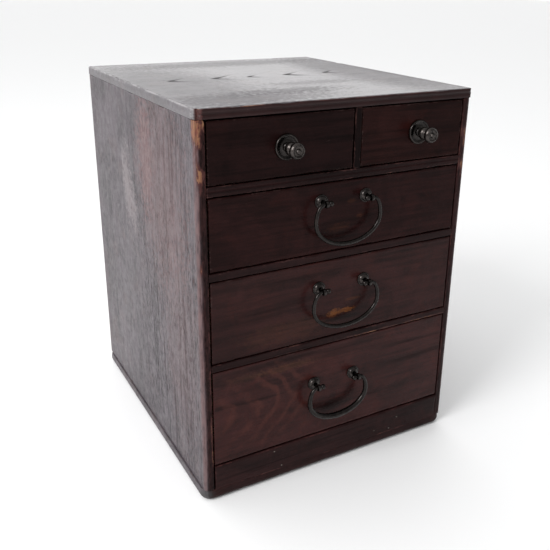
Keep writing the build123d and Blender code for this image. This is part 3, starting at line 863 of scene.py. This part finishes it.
def iron_piece(name, node, parts, rub_depth, uneven):
    """Joins (verts, faces) parts into one forged piece, a little uneven, brighter where it stands out: worn there,
    with a painted highlight.
    """
    verts, faces, start = [], [], 0
    for part_verts, part_faces in parts:
        verts.append(np.asarray(part_verts))
        faces += [tuple(i + start for i in face) for face in part_faces]
        start += len(part_verts)
    verts = np.concatenate(verts)
    shape = [rough(verts, [2.6 * MM] * 3, 71 + k, 2) for k in range(3)]
    verts = np.clip(verts + uneven * np.stack(shape, 1), *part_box(node))
    rub = smooth(-(verts[:, Y] - rub_depth), 0, 3 * MM)
    piece = new_object(name, verts, faces, black_iron, node, rub=rub)
    piece.data.set_sharp_from_angle(angle=math.radians(38))
    return piece


def knob_plate(name):
    """The dished plate behind a knob, with a raised bead for a rim."""
    low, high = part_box(f"{name}_plate")
    centre, radius = (low + high) / 2, (high.x - low.x) / 2
    depth, bore = high.y - low.y, 1.7 * MM
    outline = smooth_path([
        (radius - 0.15 * MM, high.y), (radius, high.y - 0.35 * MM), (radius, high.y - 0.8 * MM),
        (radius - 0.3 * MM, low.y + 0.18 * MM), (radius - 0.8 * MM, low.y),
        (radius - 1.3 * MM, low.y + 0.2 * MM), (radius - 1.7 * MM, low.y + 0.75 * MM),
        (0.68 * radius, low.y + 0.62 * depth), (0.55 * radius, low.y + 0.55 * depth),
        (0.40 * radius, low.y + 0.25 * depth), (bore, low.y + 0.15 * depth),
    ], 4)
    turned = lathe([(bore, high.y), *outline, (bore, high.y)], centre, 72)
    return iron_piece(f"{name}_knob_plate", f"{name}_plate", [turned], low.y + depth, 0.015 * MM)


def turned_knob(name):
    """The turned knob, with its collar, belly, neck and recessed head, and the rivet inside."""
    low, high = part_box(f"{name}_knob")
    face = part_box(f"{name}_front")[0].y
    centre = (low + high) / 2
    head, tip, tail = (high.x - low.x) / 2, low.y, high.y
    shank = 1.6 * MM

    def out(radius, depth):
        """A point of the outline, by its radius and how far it stands off the front, in mm."""
        return radius * MM, face - depth * MM

    def recess(radius, depth):
        """A point of the head's end, by its radius and how far behind the tip it lies, in mm."""
        return radius * MM, tip + depth * MM

    belly = smooth_path([
        out(1.6, 1.7), out(2.9, 1.8), out(3.05, 2.1), out(2.7, 2.6), out(2.35, 3.0), out(2.7, 3.5),
        out(3.9, 4.5), out(4.3, 6.2), out(3.95, 7.8), out(3.0, 9.1), out(2.55, 9.8),
    ], 5)
    cap = smooth_path([
        out(2.55, 9.9), out(3.1, 10.3), out(4.4, 11.1), (head - 0.12 * MM, face - 12.2 * MM),
        (head, face - 13.2 * MM), (head - 0.15 * MM, face - 14.1 * MM), out(4.55, 14.9),
        recess(3.9, 0.5), recess(3.5, 0.62), recess(3.15, 1.15), recess(2.4, 1.3), recess(1.75, 1.2),
        recess(1.45, 0.7), recess(1.0, 0.1), recess(0.4, 0), recess(0.02, 0),
    ], 5)
    rivet = [(0.02 * MM, tail), (1.5 * MM, tail), (2.3 * MM, tail - 0.3 * MM), (2.6 * MM, tail - 1.0 * MM),
             (shank, tail - 1.0 * MM), (shank, face - 1.7 * MM)]
    turned = lathe([*rivet, *belly[1:], *cap], centre, 56)
    return iron_piece(f"{name}_turned_knob", f"{name}_knob", [turned], face - 4 * MM, 0.02 * MM)


def bar(path, radii, across, around=14, flat=2.0):
    """A bar swept along a path in one plane; across is the unit vector square to that plane.

    radii gives each ring's (half-width along across, half-thickness), and flat above 2 squares it.
    """
    path, across = np.asarray(path), np.asarray(across, float)
    ahead = np.gradient(path, axis=0)
    ahead /= np.linalg.norm(ahead, axis=1, keepdims=True)
    side = np.cross(ahead, across)
    angles = np.linspace(0, 2 * math.pi, around, endpoint=False)
    c, s = np.cos(angles), np.sin(angles)
    c = np.sign(c) * np.abs(c) ** (2 / flat)
    s = np.sign(s) * np.abs(s) ** (2 / flat)
    verts = []
    for point, out, (wide, thick) in zip(path, side, radii):
        verts.append(point + np.outer(c * wide, across) + np.outer(s * thick, out))
    verts = np.concatenate(verts)
    ends = [tuple(range(around))[::-1], tuple(range(len(verts) - around, len(verts)))]
    return verts, ring_faces(len(path), around) + ends


def ball(centre, radius):
    """A closed ball turned about the line along Y."""
    turns = np.linspace(0.02, math.pi - 0.02, 12)
    return lathe([(radius * math.sin(t), centre.y + radius * math.cos(t)) for t in turns], centre, 20)


def rosettes(name):
    """The two domed cups that the split pins pass through."""
    low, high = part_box(f"{name}_rosettes")
    radius, depth = (high.z - low.z) / 2, high.y - low.y
    parts = []
    for x in (low.x + radius, high.x - radius):
        centre = Vector((x, 0, (low.z + high.z) / 2))
        dome = smooth_path([
            (radius - 0.1 * MM, high.y), (radius, high.y - 0.3 * MM), (radius - 0.12 * MM, high.y - 0.7 * MM),
            (radius - 0.55 * MM, high.y - 0.95 * MM), (radius - 0.85 * MM, high.y - 1.0 * MM),
            (0.70 * radius, high.y - 0.72 * depth), (0.50 * radius, high.y - 0.93 * depth),
            (0.38 * radius, low.y), (0.31 * radius, low.y + 0.12 * depth),
        ], 4)
        parts.append(lathe([(0.30 * radius, high.y), *dome, (0.30 * radius, high.y)], centre, 48))
    return iron_piece(f"{name}_domed_rosettes", f"{name}_rosettes", parts, low.y + depth, 0.03 * MM)


EYE_INSET = 1.1 * MM  # from each end of the posts' box to the middle of the eye there


def split_pins(name, hinge):
    """Each eye is a flat strip bent round the bail's end, both legs through the front and spread inside."""
    low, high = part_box(f"{name}_posts")
    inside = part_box(f"{name}_front")[1].y
    tail, leg, loop = (high.z - low.z) / 2, 0.62 * MM, 1.92 * MM
    pivot = Vector(hinge["pos_m"])
    half_wide, half_thick = 1.0 * MM, 0.55 * MM
    rear = inside + half_thick
    open_angle = math.asin(leg / loop)
    turns = np.linspace(open_angle, 2 * math.pi - open_angle, 34)
    eye = [(pivot.y + loop * math.cos(t), pivot.z + loop * math.sin(t)) for t in turns]
    corner = [(rear - 0.02 * MM, leg + 1.2 * MM), (rear - 0.35 * MM, leg + 0.35 * MM), (rear - 1.1 * MM, leg)]
    shank = [(inside - 4 * MM, leg), (pivot.y + loop + 2.4 * MM, leg)]
    upper = [(y, pivot.z + z) for y, z in ((rear, tail), (rear, tail * 0.6), *corner, *shank)]
    lower = [(y, 2 * pivot.z - z) for y, z in reversed(upper)]
    path = smooth_path([*upper, *eye[::3], *lower], 3)
    wide = [half_wide * (1.0 if y < pivot.y + loop + 1.5 * MM or y > inside else 0.82) for y, z in path]
    parts = []
    for x in (low.x + EYE_INSET, high.x - EYE_INSET):
        points = np.column_stack([np.full(len(path), x), path])
        parts.append(bar(points, [(w, half_thick) for w in wide], (1, 0, 0), 12, 3.2))
    return iron_piece(f"{name}_split_pins", f"{name}_posts", parts, pivot.y - 1.0 * MM, 0.03 * MM)


def bail(name, hinge):
    """The swinging bar: thin in its eyes, round the shoulders, thick at the bottom, a ball at each end."""
    low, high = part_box(f"{name}_bail")
    pivot = Vector(hinge["pos_m"])
    thick, pin = (high.y - low.y) / 2, 1.15 * MM
    if name != "lower":
        thick = 1.5 * MM  # the ball ends, not the bar, set this box's depth
    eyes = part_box(f"{name}_posts")
    gap = (eyes[1].x - eyes[0].x) / 2 - EYE_INSET
    half = (high.x - low.x) / 2 - (pin + thick) / 2
    drop = pivot.z - low.z - thick
    shoulder, waist, end = gap + 1.6 * MM, -0.42 * drop, gap - 3.4 * MM
    quarter = np.radians(np.linspace(0, 90, 22))
    arm = [(x, 0) for x in np.linspace(end, shoulder, 8)]
    arm += [(shoulder + (half - shoulder) * math.sin(t), waist - waist * math.cos(t)) for t in quarter[1:]]
    arm += [(half * math.cos(t), waist - (drop + waist) * math.sin(t)) for t in quarter[1:]]
    arm = np.array(arm)
    run = np.concatenate([[0], np.cumsum(np.linalg.norm(np.diff(arm, axis=0), axis=1))])
    share = np.interp(run, [0, run[7], run[28], run[-1]], [0, 0, 0.5, 1])
    radius = pin + (thick - pin) * share
    path = np.vstack([arm, (arm * (-1, 1))[::-1][1:]])
    radius = np.concatenate([radius, radius[::-1][1:]])
    points = np.column_stack([pivot.x + path[:, 0], np.full(len(path), pivot.y), pivot.z + path[:, 1]])
    parts = [bar(points, [(r, r) for r in radius], (0, 1, 0), 20)]
    for sign in (-1, 1):
        centre = Vector((pivot.x + sign * end, pivot.y, pivot.z))
        parts.append(ball(centre, 1.88 * MM))
    return iron_piece(f"{name}_forged_bail", f"{name}_bail", parts, low.y + 1.0 * MM, 0.05 * MM)


# ---- the chest, put together
side_board("left_side", LOW)
side_board("right_side", HIGH)
top_board()
base_board()
for shelf in ("shelf_lower", "shelf_middle", "shelf_upper", "base_rail"):
    rail_board(shelf)
divider()
paint("case_floor", bare_wood_x)
paint("back_panel", back_wood)
paint("back_panel_pegs", peg_wood)
paint("base_board_pegs", peg_wood)

RUST = (0.14, 0.045, 0.018)
BAIL_SHADOW = (0.006, 0.004, 0.004)  # painted shadow and painted reflection of each hanging bail on the front behind it
DRAWERS = ("small_left", "small_right", "upper", "middle", "lower")
AT = {drawer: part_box(f"{drawer}_front") for drawer in DRAWERS}


def on_front(drawer, x, up, radii, colour, ragged, strength):
    """A patch on a drawer front: x from the middle of the chest and up from the front's lower edge, in mm."""
    low = AT[drawer][0]
    centre = (x * MM, low.y, low.z + up * MM)
    return centre, (radii[0] * MM, 4 * MM, radii[1] * MM), colour, ragged, strength


def front_lacquer(drawer, tone, roughness, shine, *patches, **options):
    """A drawer front's lacquer; patches are what on_front takes after the drawer's name."""
    return lacquer(
        f"{drawer}_lacquer", X, tone, roughness, shine, rubbed=WORN_EDGE, bumpy=0.6,
        patches=tuple(on_front(drawer, *patch) for patch in patches), **options,
    )


ARCH_CENTRE = (-58 * MM, AT["lower"][0].y, AT["lower"][0].z + 38 * MM)
# Each front's darkest patches, round its bail, are painted shadow and reflection of the bail.
FRONTS = {
    "small_left": front_lacquer("small_left", (0.0112, 0.0038, 0.0037), 0.24, 0.05),
    "small_right": front_lacquer("small_right", (0.0185, 0.0055, 0.0049), 0.24, 0.05),
    "upper": front_lacquer(
        "upper", (0.0180, 0.0055, 0.0053), 0.24, 0.06,
        (7, 33, (4, 1.6), RUST, 1.6, 0.16),
        (-3, 16, (9, 3), RUST, 2.2, 0.14),
        (14, 22, (3, 1.5), RUST, 1.6, 0.16),
        (1, 11, (17, 3.6), BAIL_SHADOW, 0.8, 0.6),
    ),
    "middle": front_lacquer(
        "middle", (0.0290, 0.0090, 0.0085), 0.25, 0.10,
        (-4, 17, (5, 3.0), ORANGE, 2.6, 0.8),
        (6, 17.5, (7, 2.0), ORANGE, 2.4, 0.8),
        (3, 12.5, (15, 2.6), BAIL_SHADOW, 1.2, 0.75),
        (11, 25, (7, 1.2), RUST, 2.2, 0.35),
        (-40, 12, (34, 9), (0.060, 0.024, 0.013), 2.0, 0.35),
    ),
    "lower": front_lacquer(
        "lower", (0.0372, 0.0112, 0.0106), 0.25, 0.11,
        (-40, 62, (24, 3), (0.090, 0.036, 0.018), 2.6, 0.45),
        (-70, 62, (14, 3), (0.070, 0.030, 0.018), 2.6, 0.35),
        (-1, 20.5, (17, 4.2), BAIL_SHADOW, 0.8, 0.9),
        (13, 28, (5, 9), BAIL_SHADOW, 0.8, 0.6),
        stripes=0.35, arches=((ARCH_CENTRE, (46 * MM, 8 * MM, 34 * MM), 16 * MM),),
    ),
}
for drawer, material in FRONTS.items():
    drawer_front(drawer, material)
    for part in ("left_wall", "right_wall"):
        paint(f"{drawer}_{part}", bare_wood_y)
    for part in ("back", "bottom"):
        paint(f"{drawer}_{part}", bare_wood_x)
    paint(f"{drawer}_nails", nail_iron)

for drawer in ("small_left", "small_right"):
    knob_plate(drawer)
    turned_knob(drawer)
    paint(f"{drawer}_washer", black_iron)

HINGES = {joint["name"]: joint for joint in frame["joints"]}
for drawer in ("upper", "middle", "lower"):
    hinge = HINGES[f"{drawer}_bail_hinge"]
    rosettes(drawer)
    split_pins(drawer, hinge)
    bail(drawer, hinge)


# ---- floor, light and camera
def floor():
    """A plain pale floor that runs on past the picture."""
    pale_paint = new_graph("floor_paint").finish(
        Base_Color=(0.91, 0.912, 0.915), Roughness=0.75, Specular_IOR_Level=0.2
    )
    mesh = bpy.data.meshes.new("floor")
    reach = 12.0
    corners = [(x * reach, y * reach, 0) for x, y in ((-1, -1), (1, -1), (1, 1), (-1, 1))]
    mesh.from_pydata(corners, [], [(0, 1, 2, 3)])
    mesh.materials.append(pale_paint)
    plane = bpy.data.objects.new("floor", mesh)
    bpy.context.scene.collection.objects.link(plane)


def sky(glow_side, glow, dim_side, dim, level):
    """A white studio all round, with a low bright glow towards glow_side and less light from dim_side."""
    world = bpy.data.worlds.new("studio")
    bpy.context.scene.world = world
    g = Graph(world)

    def towards(direction, low, high):
        """From 0 to 1 as the look direction turns towards direction."""
        return g.remap(g.vector("DOT_PRODUCT", g.look, Vector(direction).normalized()), low, high)

    lit = g.times(towards(glow_side, 0.1, 0.9), towards((0, 0, -1), -0.75, -0.25))
    strength = g.plus(g.times(lit, glow), level)
    strength = g.plus(strength, g.times(towards(dim_side, -0.2, 0.8), -dim))
    background = g.add("ShaderNodeBackground")
    background.inputs["Color"].default_value = (1.0, 1.0, 1.0, 1.0)
    g.link(strength, background.inputs["Strength"])
    g.link(background.outputs[0], g.add("ShaderNodeOutputWorld").inputs["Surface"])


def softbox(name, centre, aim, size, power):
    """A square area light at centre that points at aim."""
    light = bpy.data.lights.new(name, "AREA")
    light.shape, light.size, light.energy = "SQUARE", size, power
    lamp = bpy.data.objects.new(name, light)
    lamp.location = centre
    lamp.rotation_euler = (Vector(aim) - Vector(centre)).to_track_quat("-Z", "Y").to_euler()
    bpy.context.scene.collection.objects.link(lamp)


def camera():
    """Looks down at the front left corner; the small shifts set the object in the picture."""
    azimuth, elevation, roll = math.radians(-29.485), math.radians(20.108), math.radians(0.835)
    level = math.cos(elevation)
    back = Vector((math.sin(azimuth) * level, -math.cos(azimuth) * level, math.sin(elevation)))
    right = Vector((0, 0, 1)).cross(back).normalized()
    up = back.cross(right)
    right, up = math.cos(roll) * right + math.sin(roll) * up, math.cos(roll) * up - math.sin(roll) * right
    turn = Matrix((right, up, back)).transposed().to_4x4()
    lens = bpy.data.cameras.new("camera")
    lens.lens, lens.sensor_width = 46.85, 36
    lens.shift_x, lens.shift_y = -0.0265, -0.0616
    lens.clip_start, lens.clip_end = 0.01, 50
    eye = bpy.data.objects.new("camera", lens)
    eye.matrix_world = Matrix.Translation((-0.2517, -0.4800, 0.3387)) @ turn
    bpy.context.scene.collection.objects.link(eye)
    bpy.context.scene.camera = eye


floor()
sky((0.25, 0.97, 0.0), 1.0, (0.75, -0.65, 0.1), 0.66, 1.10)
softbox("window", (-1.50, -0.40, 1.30), (0, 0, 0.1), 0.90, 26)
camera()
bpy.context.scene.view_settings.view_transform = "Standard"
